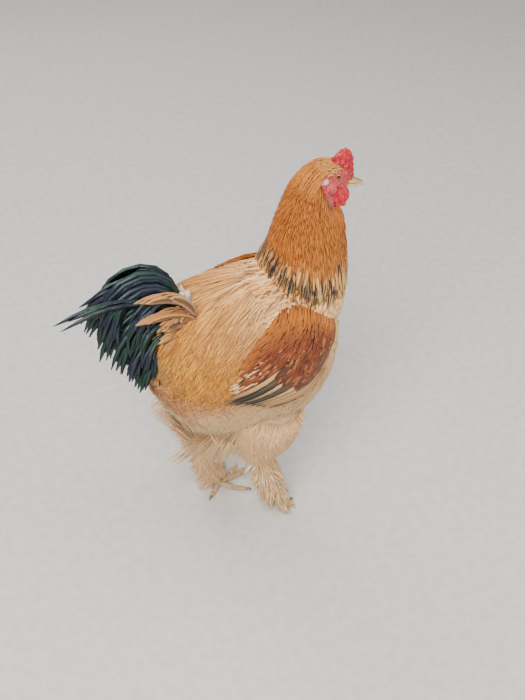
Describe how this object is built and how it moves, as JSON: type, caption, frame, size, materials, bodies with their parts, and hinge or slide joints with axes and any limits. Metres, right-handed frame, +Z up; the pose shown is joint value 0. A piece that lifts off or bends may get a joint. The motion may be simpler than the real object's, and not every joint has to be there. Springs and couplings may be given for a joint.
{
  "type": "brahma cock model",
  "caption": "Life-size still model of a Brahma cock part-way through a step, with full neck and saddle hackle, folded wings, curved tail and feathered legs.",
  "frame": {"origin": "floor level, under the middle of the bounding box", "axes": "+X towards the beak, +Y to the bird's left, +Z up"},
  "size_m": [0.4762, 0.2454, 0.6522],
  "materials": {
    "red_skin": "bright red comb, face and wattles, soft satin and finely wrinkled",
    "ear_lobe": "pale pinkish ear lobe, smooth matt",
    "eye": "amber eye with a dark pupil, wet gloss",
    "horn": "yellow horn, darker along the top of the beak, satin",
    "foot": "yellowish scaled skin, matt",
    "hackle": "golden amber neck feathers with dark striped lower edge, silky",
    "body_feather": "cream and golden buff body feathers, soft matt",
    "wing": "red-brown wing coverts and cream flight feathers edged in black",
    "tail": "black tail feathers with a green gloss",
    "fluff": "pale cream leg fluff, matt"
  },
  "bodies": {
    "root": {"beak_lower": "horn", "beak_upper": "horn", "claw_left_hind": "horn", "claw_left_inner": "horn", "claw_left_middle": "horn", "claw_left_outer": "horn", "claw_right_hind": "horn", "claw_right_inner": "horn", "claw_right_middle": "horn", "claw_right_outer": "horn", "comb": "red_skin", "ear_lobe_left": "ear_lobe", "ear_lobe_right": "ear_lobe", "eye_left": "eye", "eye_right": "eye", "foot_left": "foot", "foot_right": "foot", "head": "red_skin", "neck": "hackle", "shank_left": "fluff", "shank_right": "fluff", "tail": "tail", "thigh_left": "fluff", "thigh_right": "fluff", "torso": "body_feather", "wattle_left": "red_skin", "wattle_right": "red_skin", "wing_left": "wing", "wing_right": "wing"}
  },
  "joints": []
}
